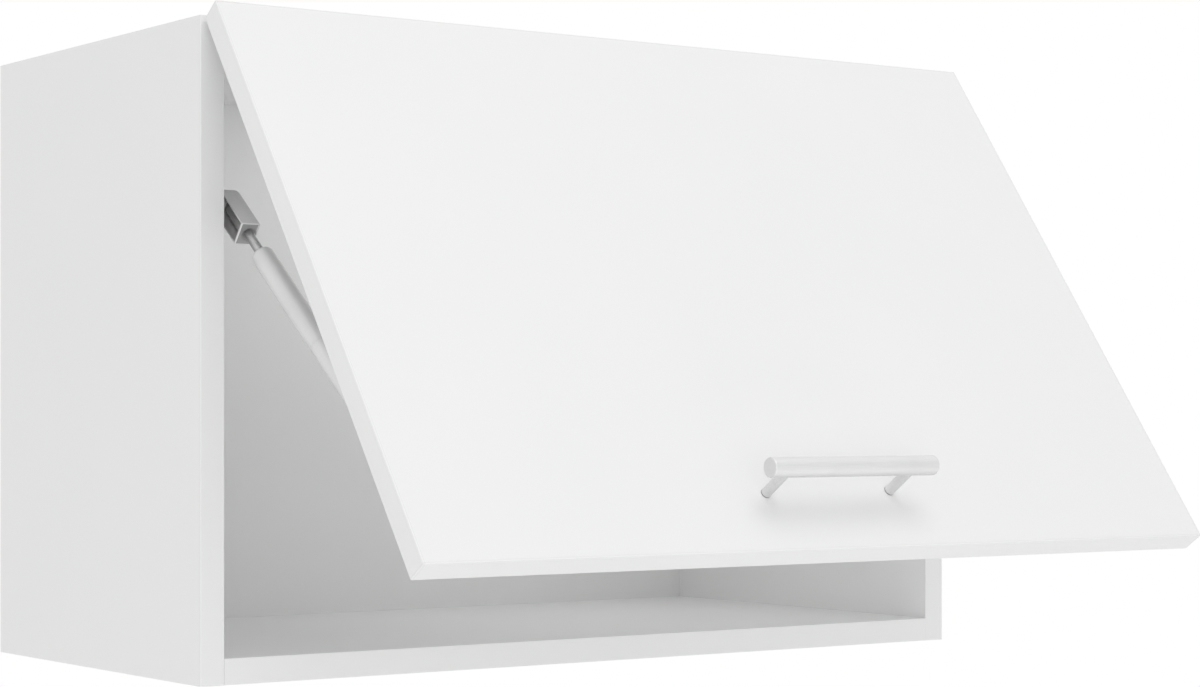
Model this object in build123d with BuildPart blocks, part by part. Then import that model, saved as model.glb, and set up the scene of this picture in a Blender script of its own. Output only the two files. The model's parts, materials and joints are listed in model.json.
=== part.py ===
from build123d import *
import os
from math import atan2, cos, degrees, hypot, radians, sin, sqrt

os.makedirs("parts", exist_ok=True)

# Kitchen wall cabinet with a top-hung flap door, a gas strut and a bar handle.
# Millimetres. +X is right, +Y is towards the wall, +Z is up. The origin is on the
# wall plane, in the middle of the back panel. The door stands open as it is shown.

# Carcass
carcass_width = 600.0
carcass_height = 400.0
carcass_depth = 290.0
board_thickness = 16.0
back_thickness = 3.0
back_rebate_width = 8.0
back_fit = 0.2
edge_rounding = 0.5

# Door
door_gap = 1.5
door_reveal = 2.0
door_thickness = 16.0
door_edge_rounding = 0.6
door_open_angle = 35.3

# Corner joints: cam, bolt and dowels
cam_inset = 45.0
dowel_spacing = 32.0
cam_radius = 7.5
cam_height = 12.0
cam_reach = 24.0
cam_recess = 0.5
drive_slot_width = 1.4
drive_slot_depth = 3.0
bolt_radius = 3.0
bolt_neck_radius = 2.4
bolt_head_radius = 3.5
bolt_head_length = 3.0
bolt_thread_depth = 11.0
dowel_radius = 4.0
dowel_length = 30.0
dowel_chamfer = 0.8
bore_fit = 0.1
bore_spare_depth = 0.5
press_fit = 0.02

# Concealed hinges
hinge_inset = 100.0
base_line_angle = 30.0
base_pivot_radii = (22.0, 30.0)
door_line_angle = 6.0
door_pivot_radii = (14.2, 22.8)
link_half_width = 2.5
link_pin_radius = 1.2
pin_fit = 0.06
link_plate = 1.8
link_gap = 0.3
centre_link_half = 1.5
bridge_half_width = 1.4
bridge_length = 3.6
cheek_thickness = 1.5
cheek_gap = 0.4
cheek_margin = 1.0
cheek_rounding = 1.2
arm_web = 1.5
arm_web_step = 3.0
arm_length = 62.0
arm_lift = 0.5
arm_screw_inset = 14.0
spine_height = 9.0
spine_side_gap = 0.5
plate_thickness = 2.0
plate_wing_length = 48.0
plate_wing_width = 14.0
plate_corner = 3.0
plate_line = 37.0
plate_screw_spacing = 32.0
cup_radius = 17.5
cup_depth = 11.5
cup_edge_distance = 22.0
cup_wall = 1.0
cup_floor = 1.3
flange_thickness = 1.0
flange_length = 60.0
flange_width = 13.0
flange_lip = 1.5
flange_screw_spacing = 48.0
flange_screw_drop = 6.0

# Gas strut, measured along its own axis from the pivot on the left side panel
strut_line = 30.0
strut_pivot_back = 21.0
strut_pivot_drop = 109.1
strut_foot_drop = 270.0
strut_foot_standoff = 24.7
socket_length = 33.0
socket_height = 15.2
socket_width = 14.0
socket_wall = 1.0
socket_far_wall = 2.5
socket_end_wall = 1.4
socket_corner = 3.6
socket_rim = 0.5
socket_boss_radius = 5.4
socket_boss_inset = 1.0
socket_sleeve_wall = 1.4
socket_mouth_radius = 4.9
socket_mouth_depth = 1.0
stud_radius = 3.0
stud_fit = 0.05
stud_collar = 2.5
stud_collar_gap = 0.5
rod_radius = 3.0
rod_start = 7.0
rod_in_view = 20.0
guard_radius = 7.0
guard_wall = 0.38
guard_floor = 3.5
guard_shoulder = 3.6
guard_end_radius = 6.78
guard_end_taper = 12.0
guard_end_clearance = 8.3
cylinder_radius = 6.3
cylinder_wall = 1.0
cylinder_rounding = 0.8
cylinder_end_gap = 10.0
cylinder_closed_gap = 0.8
gland_length = 3.0
gland_inset = 0.2
piston_length = 4.0
piston_fit = 0.35
piston_stop = 3.4
piston_nut = 0.6
strut_travel_per_radian = 74.0
eye_radius = 6.4
eye_width = 9.0
eye_rounding = 0.8
eye_bore_fit = 0.4
eye_bore_depth = 6.3
neck_radius = 3.8
open_pivot_gap = 0.3
bracket_plate = 2.0
bracket_length = 44.0
bracket_width = 24.0
bracket_screw_inset = 8.0
foot_screw_shift = 3.0
ear_gap = 1.0
ear_radius = 7.0
side_plate_length = 62.0
side_plate_width = 18.0
side_plate_corner = 5.0

# Handle
handle_length = 126.5
handle_radius = 6.0
handle_spacing = 96.0
handle_standoff = 27.0
handle_rise = 39.4
handle_end_rounding = 0.8
post_radius = 3.2
handle_screw_radius = 2.0
handle_screw_clearance = 0.5
handle_screw_grip = 12.0

# Wall brackets, screws and small parts
wall_hole_radius = 4.0
wall_hole_inset = 40.0
wall_hole_drop = 45.0
wall_bracket_plate = 2.5
wall_bracket_leg = 46.0
wall_bracket_end = 14.0
wall_bracket_height = 40.0
wall_bracket_screw_reaches = (16.0, 34.0)
screw_radius = 1.9
screw_head_radius = 3.6
screw_head_height = 1.6
screw_length = 12.0
nail_radius = 0.8
nail_length = 18.0
nail_fit = 0.05
nail_end_inset = 60.0
nails_across = 5
bumper_radius = 4.0
bumper_height = 1.2
bumper_inset = 12.0

# Derived places
half_width = carcass_width / 2
half_height = carcass_height / 2
inner_half_width = half_width - board_thickness
front_y = -carcass_depth
back_rebate_depth = back_thickness + back_fit
panel_depth = carcass_depth - back_rebate_depth
top_underside = half_height - board_thickness
board_middle = half_height - board_thickness / 2
connector_front = front_y + cam_inset
connector_back = -back_rebate_depth - cam_inset
cam_lines = (connector_front, connector_back)
dowel_lines = (connector_front + dowel_spacing, connector_back - dowel_spacing)

# The door turns about its own rear top edge.
axis_y = front_y - door_gap
axis_z = half_height - door_reveal
door_width = carcass_width - 2 * door_reveal
door_height = carcass_height - 2 * door_reveal
opening = radians(door_open_angle)
door_outward = (0, -cos(opening), sin(opening))
door_rear = Plane(origin=(0, axis_y, axis_z), x_dir=(1, 0, 0), z_dir=door_outward)


def finish(piece, node):
    """Name the finished piece and write its file."""
    piece.part.label = node
    export_step(piece.part, f"parts/{node}.step")


def door_point(across, down, outward):
    """A point of the open door: down from the hinge edge, outward from the rear face."""
    return door_rear.from_local_coords((across, -down, outward))


def add_pan_screws(places, length, radius=screw_radius):
    """Screws with a pan head on each plane, with the shank going back into it."""
    with Locations(*places):
        Cylinder(screw_head_radius, screw_head_height, align=(Align.CENTER, Align.CENTER, Align.MIN))
        Cylinder(radius, length, align=(Align.CENTER, Align.CENTER, Align.MAX))
        with Locations((0, 0, screw_head_height)):
            Box(screw_head_radius, radius / 2, radius, mode=Mode.SUBTRACT)
            Box(radius / 2, screw_head_radius, radius, mode=Mode.SUBTRACT)


def cut_bores(places, radius, depth):
    """Blind round bores going back from each plane."""
    with Locations(*places):
        Cylinder(radius, depth, align=(Align.CENTER, Align.CENTER, Align.MAX), mode=Mode.SUBTRACT)


# Places that several pieces share
hinge_centres = {"left": -(half_width - hinge_inset), "right": half_width - hinge_inset}
plate_y = front_y + plate_line
plate_screw_face = top_underside - plate_thickness
hinge_plate_screw_places = {
    side: [
        Plane(origin=(centre + step, plate_y, plate_screw_face), z_dir=(0, 0, -1))
        for step in (-plate_screw_spacing / 2, plate_screw_spacing / 2)
    ]
    for side, centre in hinge_centres.items()
}
cup_screw_places = {
    side: [
        Plane(
            origin=door_point(centre + step, cup_edge_distance + flange_screw_drop, -flange_thickness),
            x_dir=(1, 0, 0),
            z_dir=-door_rear.z_dir,
        )
        for step in (-flange_screw_spacing / 2, flange_screw_spacing / 2)
    ]
    for side, centre in hinge_centres.items()
}

# Gas strut: upper pivot on the side panel, foot on the door
strut_x = -(half_width - strut_line)
pivot_y = front_y + strut_pivot_back
pivot_z = half_height - strut_pivot_drop
foot = door_point(strut_x, strut_foot_drop, -strut_foot_standoff)
strut_length = hypot(foot.Y - pivot_y, foot.Z - pivot_z)
strut_along = Vector(0, (foot.Y - pivot_y) / strut_length, (foot.Z - pivot_z) / strut_length)
strut_axis = Plane(origin=(strut_x, pivot_y, pivot_z), x_dir=(1, 0, 0), z_dir=strut_along)
guard_start = socket_length + rod_in_view
strut_travel_in = strut_travel_per_radian * opening
guard_end = strut_length - strut_travel_in - eye_radius - guard_end_clearance
cylinder_start = guard_start + guard_floor + cylinder_closed_gap + strut_travel_in
cylinder_end = strut_length - cylinder_end_gap
side_plate_face = -inner_half_width + bracket_plate
side_screw_places = [
    Plane(origin=(side_plate_face, pivot_y, pivot_z + rise), z_dir=(1, 0, 0))
    for rise in (-side_plate_length / 2 + bracket_screw_inset, side_plate_length / 2 - bracket_screw_inset)
]
ear_face = strut_x + socket_width / 2 + ear_gap
foot_plate_middle = ear_face + bracket_width / 2
foot_screw_places = [
    Plane(
        origin=door_point(foot_plate_middle + foot_screw_shift, strut_foot_drop + step, -bracket_plate),
        x_dir=(1, 0, 0),
        z_dir=-door_rear.z_dir,
    )
    for step in (-bracket_length / 2 + bracket_screw_inset, bracket_length / 2 - bracket_screw_inset)
]

# Handle on the door's front face
handle_drop = door_height - handle_rise
post_centres = (-handle_spacing / 2, handle_spacing / 2)

# Wall brackets in the upper corners
wall_hole_x = inner_half_width - wall_hole_inset
wall_hole_z = top_underside - wall_hole_drop
back_inner_y = -back_thickness - back_fit / 2
bracket_screw_places = {
    side: [
        Plane(
            origin=(turn * (inner_half_width - wall_bracket_plate), back_inner_y - reach, wall_hole_z),
            z_dir=(-turn, 0, 0),
        )
        for reach in wall_bracket_screw_reaches
    ]
    for side, turn in (("left", -1), ("right", 1))
}

# Nails that hold the back to the top and bottom panels
nail_reach = inner_half_width - nail_end_inset
nail_bore = nail_radius + nail_fit
nail_places = [
    Plane(origin=(-nail_reach + i * 2 * nail_reach / (nails_across - 1), 0, z), z_dir=(0, 1, 0))
    for i in range(nails_across)
    for z in (-board_middle, board_middle)
]

# Side panels: rebate for the back, bores for the bolts and dowels
for side, turn in (("left", -1), ("right", 1)):
    inner_face = Plane(origin=(turn * inner_half_width, 0, 0), x_dir=(0, 1, 0), z_dir=(-turn, 0, 0))
    with BuildPart() as side_panel:
        with BuildSketch(inner_face):
            with Locations((front_y / 2, 0)):
                Rectangle(carcass_depth, carcass_height)
        extrude(amount=-board_thickness)
        fillet(side_panel.edges().filter_by(Axis.Z).group_by(Axis.Y)[0], edge_rounding)
        with BuildSketch(inner_face):
            with Locations((-back_rebate_depth / 2, 0)):
                Rectangle(back_rebate_depth, carcass_height)
        extrude(amount=-back_rebate_width, mode=Mode.SUBTRACT)
        levels = (-board_middle, board_middle)
        bolt_bores = [
            Plane(origin=(turn * inner_half_width, y, z), z_dir=(-turn, 0, 0))
            for y in cam_lines
            for z in levels
        ]
        dowel_bores = [
            Plane(origin=(turn * inner_half_width, y, z), z_dir=(-turn, 0, 0))
            for y in dowel_lines
            for z in levels
        ]
        cut_bores(bolt_bores, bolt_radius + bore_fit, bolt_thread_depth + bore_spare_depth)
        cut_bores(dowel_bores, dowel_radius + bore_fit, dowel_length / 3 + bore_spare_depth)
        cut_bores(bracket_screw_places[side], screw_radius + bore_fit, screw_length + bore_spare_depth)
        if side == "left":
            cut_bores(side_screw_places, screw_radius + bore_fit, screw_length + bore_spare_depth)
    finish(side_panel, f"side_panel_{side}")

# Top and bottom panels between the sides, with their cam pockets facing out of sight
for name, turn in (("top_panel", 1), ("bottom_panel", -1)):
    with BuildPart() as level_panel:
        with BuildSketch(Plane.XY.offset(turn * half_height)):
            with Locations((0, front_y + panel_depth / 2)):
                Rectangle(2 * inner_half_width, panel_depth)
        extrude(amount=-turn * board_thickness)
        fillet(level_panel.edges().filter_by(Axis.X).group_by(Axis.Y)[0], edge_rounding)
        cam_places = [
            Plane(origin=(x, y, turn * half_height), z_dir=(0, 0, turn))
            for x in (-(inner_half_width - cam_reach), inner_half_width - cam_reach)
            for y in cam_lines
        ]
        cut_bores(cam_places, cam_radius + bore_fit, cam_height + cam_recess)
        end_bores = [
            (Plane(origin=(end * inner_half_width, y, turn * board_middle), z_dir=(end, 0, 0)), lines)
            for end in (-1, 1)
            for lines in (cam_lines, dowel_lines)
            for y in lines
        ]
        bolt_places = [place for place, lines in end_bores if lines is cam_lines]
        dowel_places = [place for place, lines in end_bores if lines is dowel_lines]
        cut_bores(bolt_places, bolt_head_radius + bore_fit, cam_reach)
        cut_bores(dowel_places, dowel_radius + bore_fit, dowel_length * 2 / 3 + bore_spare_depth)
        near_nails = [place for place in nail_places if place.origin.Z * turn > 0]
        cut_bores(near_nails, nail_bore, nail_length + bore_spare_depth)
        if turn == 1:
            for places in hinge_plate_screw_places.values():
                cut_bores(places, screw_radius + bore_fit, screw_length + bore_spare_depth)
    finish(level_panel, name)

# Back panel, let into the sides' rebates and lying against the top and bottom
with BuildPart() as back_panel:
    with BuildSketch(Plane.XZ):
        Rectangle(2 * (inner_half_width + back_rebate_width - back_fit), carcass_height - 2 * back_fit)
        with Locations((-wall_hole_x, wall_hole_z), (wall_hole_x, wall_hole_z)):
            Circle(wall_hole_radius, mode=Mode.SUBTRACT)
    extrude(amount=back_rebate_depth)
    cut_bores(nail_places, nail_bore, nail_length + bore_spare_depth)
finish(back_panel, "back_panel")

# Cams, bolts and dowels of the four corners
corner_places = [
    (end, turn, y)
    for end in (-1, 1)
    for turn in (-1, 1)
    for y in cam_lines
]
with BuildPart() as corner_cams:
    for end, turn, y in corner_places:
        cam_face = turn * (half_height - cam_recess)
        place = Plane(origin=(end * (inner_half_width - cam_reach), y, cam_face), z_dir=(0, 0, turn))
        with Locations(place):
            Cylinder(cam_radius, cam_height, align=(Align.CENTER, Align.CENTER, Align.MAX))
            Box(cam_radius, drive_slot_width, drive_slot_depth, mode=Mode.SUBTRACT)
            Box(drive_slot_width, cam_radius, drive_slot_depth, mode=Mode.SUBTRACT)
        bolt_way = Plane(origin=(end * inner_half_width, y, turn * board_middle), z_dir=(end, 0, 0))
        with Locations(bolt_way):
            Cylinder(
                bolt_head_radius + bore_fit,
                cam_reach + bolt_head_radius,
                align=(Align.CENTER, Align.CENTER, Align.MAX),
                mode=Mode.SUBTRACT,
            )
finish(corner_cams, "corner_cams")

with BuildPart() as corner_bolts:
    for end, turn, y in corner_places:
        bolt_way = Plane(origin=(end * inner_half_width, y, turn * board_middle), z_dir=(end, 0, 0))
        with Locations(bolt_way):
            Cylinder(bolt_radius, bolt_thread_depth, align=(Align.CENTER, Align.CENTER, Align.MIN))
            Cylinder(bolt_neck_radius, cam_reach, align=(Align.CENTER, Align.CENTER, Align.MAX))
            with Locations((0, 0, -cam_reach)):
                Cylinder(bolt_head_radius, bolt_head_length)
finish(corner_bolts, "corner_bolts")

with BuildPart() as corner_dowels:
    for end in (-1, 1):
        for turn in (-1, 1):
            for y in dowel_lines:
                dowel_middle = end * (inner_half_width - dowel_length / 6)
                with Locations(Plane(origin=(dowel_middle, y, turn * board_middle), z_dir=(end, 0, 0))):
                    Cylinder(dowel_radius, dowel_length)
    chamfer(corner_dowels.edges().filter_by(GeomType.CIRCLE), dowel_chamfer)
finish(corner_dowels, "corner_dowels")

# Wall brackets: one leg on the side panel, the other on the back with the wall screw's hole
for side, turn in (("left", -1), ("right", 1)):
    with BuildPart() as wall_bracket:
        with BuildSketch(Plane.XY.offset(wall_hole_z - wall_bracket_height / 2)):
            with BuildLine():
                corner = (turn * inner_half_width, -back_rebate_depth)
                leg_end = (corner[0] - turn * (wall_hole_inset + wall_bracket_end), corner[1])
                side_end = (corner[0], corner[1] - wall_bracket_leg)
                inward = (-turn * wall_bracket_plate, -wall_bracket_plate)
                Polyline(
                    corner,
                    leg_end,
                    (leg_end[0], leg_end[1] + inward[1]),
                    (corner[0] + inward[0], corner[1] + inward[1]),
                    (side_end[0] + inward[0], side_end[1]),
                    side_end,
                    close=True,
                )
            make_face()
        extrude(amount=wall_bracket_height)
        with Locations(Plane(origin=(turn * wall_hole_x, 0, wall_hole_z), z_dir=(0, 1, 0))):
            Cylinder(wall_hole_radius, 4 * back_rebate_depth, mode=Mode.SUBTRACT)
        with Locations(*bracket_screw_places[side]):
            Cylinder(screw_radius + bore_fit, 3 * wall_bracket_plate, mode=Mode.SUBTRACT)
    finish(wall_bracket, f"wall_bracket_{side}")

with BuildPart() as wall_bracket_screws:
    for places in bracket_screw_places.values():
        add_pan_screws(places, screw_length)
finish(wall_bracket_screws, "wall_bracket_screws")

# Door panel, with the cup bores, the bracket's pilot bores and the handle's through holes
with BuildPart() as door_panel:
    with BuildSketch(door_rear):
        with Locations((0, -door_height / 2)):
            Rectangle(door_width, door_height)
    extrude(amount=door_thickness)
    fillet(door_panel.edges(), door_edge_rounding)
    with BuildSketch(door_rear):
        with Locations(*[(x, -cup_edge_distance) for x in hinge_centres.values()]):
            Circle(cup_radius + bore_fit)
    extrude(amount=cup_depth + bore_fit, mode=Mode.SUBTRACT)
    with BuildSketch(door_rear):
        with Locations(*[(x, -handle_drop) for x in post_centres]):
            Circle(handle_screw_radius + handle_screw_clearance)
    extrude(amount=door_thickness, mode=Mode.SUBTRACT)
    for places in cup_screw_places.values():
        cut_bores(places, screw_radius + bore_fit, screw_length + bore_spare_depth)
    cut_bores(foot_screw_places, screw_radius + bore_fit, screw_length + bore_spare_depth)
finish(door_panel, "door_panel")

# Bumpers at the door's lower rear corners
with BuildPart() as door_bumpers:
    bumper_x = half_width - board_thickness / 2
    with BuildSketch(door_rear):
        with Locations(*[(x, -(door_height - bumper_inset)) for x in (-bumper_x, bumper_x)]):
            Circle(bumper_radius)
    extrude(amount=-bumper_height)
    inward = Axis(door_rear.origin, -door_rear.z_dir)
    chamfer(door_bumpers.edges().filter_by(GeomType.CIRCLE).group_by(inward)[-1], bumper_height / 3)
finish(door_bumpers, "door_bumpers")

# Bar handle: round bar on two posts, each held by a screw through the door
bar_plane = Plane(
    origin=door_point(-handle_length / 2, handle_drop, door_thickness + handle_standoff),
    x_dir=door_rear.y_dir,
    z_dir=(1, 0, 0),
)
with BuildPart() as handle_bar:
    with BuildSketch(bar_plane):
        Circle(handle_radius)
    extrude(amount=handle_length)
    fillet(handle_bar.edges().filter_by(GeomType.CIRCLE), handle_end_rounding)
finish(handle_bar, "handle_bar")

for side, x in (("left", post_centres[0]), ("right", post_centres[1])):
    with BuildPart() as handle_post:
        with BuildSketch(door_rear.offset(door_thickness)):
            with Locations((x, -handle_drop)):
                Circle(post_radius)
        extrude(amount=handle_standoff)
        with BuildSketch(door_rear.offset(door_thickness)):
            with Locations((x, -handle_drop)):
                Circle(handle_screw_radius + bore_fit)
        extrude(amount=handle_screw_grip + bore_spare_depth, mode=Mode.SUBTRACT)
        with Locations(bar_plane):
            Cylinder(
                handle_radius + press_fit,
                handle_length,
                align=(Align.CENTER, Align.CENTER, Align.MIN),
                mode=Mode.SUBTRACT,
            )
    finish(handle_post, f"handle_post_{side}")

with BuildPart() as handle_screws:
    places = [
        Plane(origin=door_point(x, handle_drop, 0), x_dir=(1, 0, 0), z_dir=-door_rear.z_dir)
        for x in post_centres
    ]
    add_pan_screws(places, door_thickness + handle_screw_grip, handle_screw_radius)
finish(handle_screws, "handle_screws")

# Concealed hinges. Two arms turn with the door about pivots on the carcass, and two cup
# links keep their direction, so the four bars carry the door about its own edge.
base_way = Vector(0, sin(radians(base_line_angle)), -cos(radians(base_line_angle)))
turned = radians(door_line_angle) + opening
door_way = Vector(0, -sin(turned), -cos(turned))
axis_point = Vector(0, axis_y, axis_z)
base_pivots = [axis_point + base_way * radius for radius in base_pivot_radii]
door_pivots = [axis_point + door_way * radius for radius in door_pivot_radii]

rear_arm_inner = centre_link_half + link_gap
rear_arm_outer = rear_arm_inner + link_plate
upper_link_inner = rear_arm_outer + link_gap
upper_link_outer = upper_link_inner + link_plate
lower_link_inner = upper_link_outer + link_gap
lower_link_outer = lower_link_inner + link_plate
cheek_inner = lower_link_outer + cheek_gap
cheek_outer = cheek_inner + cheek_thickness


def add_plate(centre, low, high, pivots, half_width=link_half_width):
    """A straight link plate between two distances from the hinge's middle, with round ends."""
    way = (pivots[-1] - pivots[0]).normalized()
    plate = Plane(origin=(centre + low, pivots[0].Y, pivots[0].Z), x_dir=way, z_dir=(1, 0, 0))
    span = (pivots[-1] - pivots[0]).length
    with BuildSketch(plate) as outline:
        with Locations((span / 2, 0)):
            SlotCenterToCenter(span, 2 * half_width)
    extrude(outline.sketch, amount=high - low)


def cut_pin_holes(centre, half, pivots):
    """Round holes right through a link at each pivot."""
    for pivot in pivots:
        with Locations(Plane(origin=(centre, pivot.Y, pivot.Z), z_dir=(1, 0, 0))):
            Cylinder(link_pin_radius + pin_fit, 2 * half + 1, mode=Mode.SUBTRACT)


def add_pins(centre, half, pivots):
    """Round pins across the hinge at each pivot."""
    for pivot in pivots:
        with Locations(Plane(origin=(centre, pivot.Y, pivot.Z), z_dir=(1, 0, 0))):
            Cylinder(link_pin_radius, 2 * half)


front_offsets = [door_way * radius for radius in door_pivot_radii]
front_knuckles = [base_pivots[0] + offset for offset in front_offsets]
rear_knuckles = [base_pivots[1] + offset for offset in front_offsets]

for side, centre in hinge_centres.items():
    with BuildPart() as front_arm:
        chain = [base_pivots[0], *front_knuckles]
        add_plate(centre, -centre_link_half, centre_link_half, chain)
        cut_pin_holes(centre, centre_link_half, chain)
    finish(front_arm, f"hinge_front_arm_{side}")

    with BuildPart() as rear_arm:
        chain = [base_pivots[1], *rear_knuckles]
        add_plate(centre, -rear_arm_outer, -rear_arm_inner, chain)
        add_plate(centre, rear_arm_inner, rear_arm_outer, chain)
        middle = (rear_knuckles[0] + rear_knuckles[1]) / 2
        bridge_plane = Plane(origin=(centre, middle.Y, middle.Z), x_dir=door_way, z_dir=(1, 0, 0))
        with Locations(bridge_plane):
            Box(bridge_length, 2 * bridge_half_width, 2 * rear_arm_inner)
        cut_pin_holes(centre, rear_arm_outer, chain)
    finish(rear_arm, f"hinge_rear_arm_{side}")

    links = (
        ("upper", upper_link_inner, upper_link_outer, 0),
        ("lower", lower_link_inner, lower_link_outer, 1),
    )
    for name, inner, outer, row in links:
        with BuildPart() as cup_link:
            chain = [door_pivots[row], front_knuckles[row], rear_knuckles[row]]
            add_plate(centre, -outer, -inner, chain)
            add_plate(centre, inner, outer, chain)
            cut_pin_holes(centre, outer, chain[:1])
            add_pins(centre, outer, chain[1:])
        finish(cup_link, f"hinge_{name}_link_{side}")

    # Cup in the door: round pot with a pocket for the links and a screwed flange
    with BuildPart() as hinge_cup:
        with BuildSketch(door_rear):
            with Locations((centre, -cup_edge_distance)):
                Circle(cup_radius)
        extrude(amount=cup_depth)
        with BuildSketch(door_rear):
            with Locations((centre, -cup_edge_distance)):
                Circle(cup_radius + flange_lip)
            with Locations((centre, -cup_edge_distance - flange_screw_drop)):
                RectangleRounded(flange_length, flange_width, 0.46 * flange_width)
        extrude(amount=-flange_thickness)
        with BuildSketch(door_rear.offset(-flange_thickness)):
            with Locations((centre, -cup_edge_distance)):
                Circle(cup_radius - cup_wall)
                Rectangle(2 * cheek_inner, 3 * cup_radius, mode=Mode.INTERSECT)
        extrude(amount=flange_thickness + cup_depth - cup_floor, mode=Mode.SUBTRACT)
        for pivot in door_pivots:
            with Locations(Plane(origin=(centre, pivot.Y, pivot.Z), z_dir=(1, 0, 0))):
                Cylinder(link_pin_radius + press_fit, 2 * cheek_outer + 1, mode=Mode.SUBTRACT)
        with Locations(*cup_screw_places[side]):
            Cylinder(screw_radius + bore_fit, 4 * flange_thickness, mode=Mode.SUBTRACT)
    finish(hinge_cup, f"hinge_cup_{side}")

    # Hinge arm: two cheeks that hold the pivots, joined by a web along the mounting plate
    cheek_low = base_pivots[1].Z - link_half_width - cheek_margin
    cheek_front = base_pivots[0].Y - link_half_width - cheek_margin
    cheek_back = front_y + arm_length
    web_low = top_underside - spine_height - plate_thickness - arm_web
    web_front = base_pivots[1].Y + link_half_width + 3 * arm_web_step
    with BuildPart() as hinge_arm:
        for x in (centre - cheek_outer, centre + cheek_inner):
            with BuildSketch(Plane.YZ.offset(x)):
                with BuildLine():
                    FilletPolyline(
                        (cheek_back, web_low),
                        (cheek_back, top_underside - plate_thickness - arm_lift),
                        (cheek_front, top_underside - plate_thickness - arm_lift),
                        (cheek_front, base_pivots[0].Z - link_half_width + cheek_margin),
                        (base_pivots[1].Y - link_half_width, cheek_low),
                        (base_pivots[1].Y + link_half_width, cheek_low),
                        (web_front, web_low),
                        radius=cheek_rounding,
                        close=True,
                    )
                make_face()
            extrude(amount=cheek_thickness)
        with BuildSketch(Plane.XY.offset(web_low)):
            with Locations((centre, (web_front + cheek_back) / 2)):
                Rectangle(2 * cheek_inner, cheek_back - web_front)
            with Locations((centre, cheek_back - arm_screw_inset)):
                Circle(screw_radius + bore_fit, mode=Mode.SUBTRACT)
        extrude(amount=arm_web)
        for pivot in base_pivots:
            with Locations(Plane(origin=(centre, pivot.Y, pivot.Z), z_dir=(1, 0, 0))):
                Cylinder(link_pin_radius + press_fit, 2 * cheek_outer + 1, mode=Mode.SUBTRACT)
    finish(hinge_arm, f"hinge_arm_{side}")

    # Mounting plate: screwed wings under the top panel, and the spine inside the arm
    with BuildPart() as mounting_plate:
        with BuildSketch(Plane.XY.offset(top_underside)):
            with Locations((centre, plate_y)):
                RectangleRounded(plate_wing_length, plate_wing_width, plate_corner)
            with Locations((centre, (web_front + cheek_back) / 2)):
                Rectangle(2 * (cheek_inner - spine_side_gap), cheek_back - web_front)
        extrude(amount=-plate_thickness)
        with BuildSketch(Plane.XY.offset(top_underside - plate_thickness)):
            with Locations((centre, (web_front + cheek_back) / 2)):
                Rectangle(2 * (cheek_inner - spine_side_gap), cheek_back - web_front)
        extrude(amount=-spine_height)
        with Locations(*hinge_plate_screw_places[side]):
            Cylinder(screw_radius + bore_fit, 4 * plate_thickness, mode=Mode.SUBTRACT)
        arm_screw = Plane(origin=(centre, cheek_back - arm_screw_inset, web_low), z_dir=(0, 0, -1))
        cut_bores([arm_screw], screw_radius + bore_fit, spine_height)
    finish(mounting_plate, f"hinge_plate_{side}")

with BuildPart() as hinge_arm_pins:
    for centre in hinge_centres.values():
        add_pins(centre, cheek_outer, base_pivots)
finish(hinge_arm_pins, "hinge_arm_pins")

with BuildPart() as hinge_cup_pins:
    for centre in hinge_centres.values():
        add_pins(centre, cheek_outer, door_pivots)
finish(hinge_cup_pins, "hinge_cup_pins")

with BuildPart() as hinge_plate_screws:
    for side, centre in hinge_centres.items():
        add_pan_screws(hinge_plate_screw_places[side], screw_length)
        arm_screw = Plane(origin=(centre, cheek_back - arm_screw_inset, web_low), z_dir=(0, 0, -1))
        add_pan_screws([arm_screw], spine_height - bore_spare_depth)
finish(hinge_plate_screws, "hinge_plate_screws")

with BuildPart() as hinge_cup_screws:
    for places in cup_screw_places.values():
        add_pan_screws(places, screw_length)
finish(hinge_cup_screws, "hinge_cup_screws")

# Nails of the back panel
with BuildPart() as back_nails:
    with Locations(*nail_places):
        Cylinder(nail_radius, nail_length, align=(Align.CENTER, Align.CENTER, Align.MAX))
finish(back_nails, "back_nails")

# Gas strut's bracket on the left side panel, with the stud of the upper pivot
socket_open_side = strut_x - socket_width / 2
with BuildPart() as strut_side_bracket:
    with BuildSketch(Plane.YZ.offset(-inner_half_width)):
        with Locations((pivot_y, pivot_z)):
            RectangleRounded(side_plate_width, side_plate_length, side_plate_corner)
    extrude(amount=bracket_plate)
    with BuildSketch(Plane.YZ.offset(side_plate_face)):
        with Locations((pivot_y, pivot_z)):
            Circle(stud_radius + stud_collar)
    extrude(amount=socket_open_side - stud_collar_gap - side_plate_face)
    with BuildSketch(Plane.YZ.offset(side_plate_face)):
        with Locations((pivot_y, pivot_z)):
            Circle(stud_radius)
    extrude(amount=strut_x + socket_width / 4 - side_plate_face)
    with Locations(*side_screw_places):
        Cylinder(screw_radius + bore_fit, 3 * bracket_plate, mode=Mode.SUBTRACT)
finish(strut_side_bracket, "strut_side_bracket")

with BuildPart() as strut_side_screws:
    add_pan_screws(side_screw_places, screw_length)
finish(strut_side_screws, "strut_side_screws")

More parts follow.
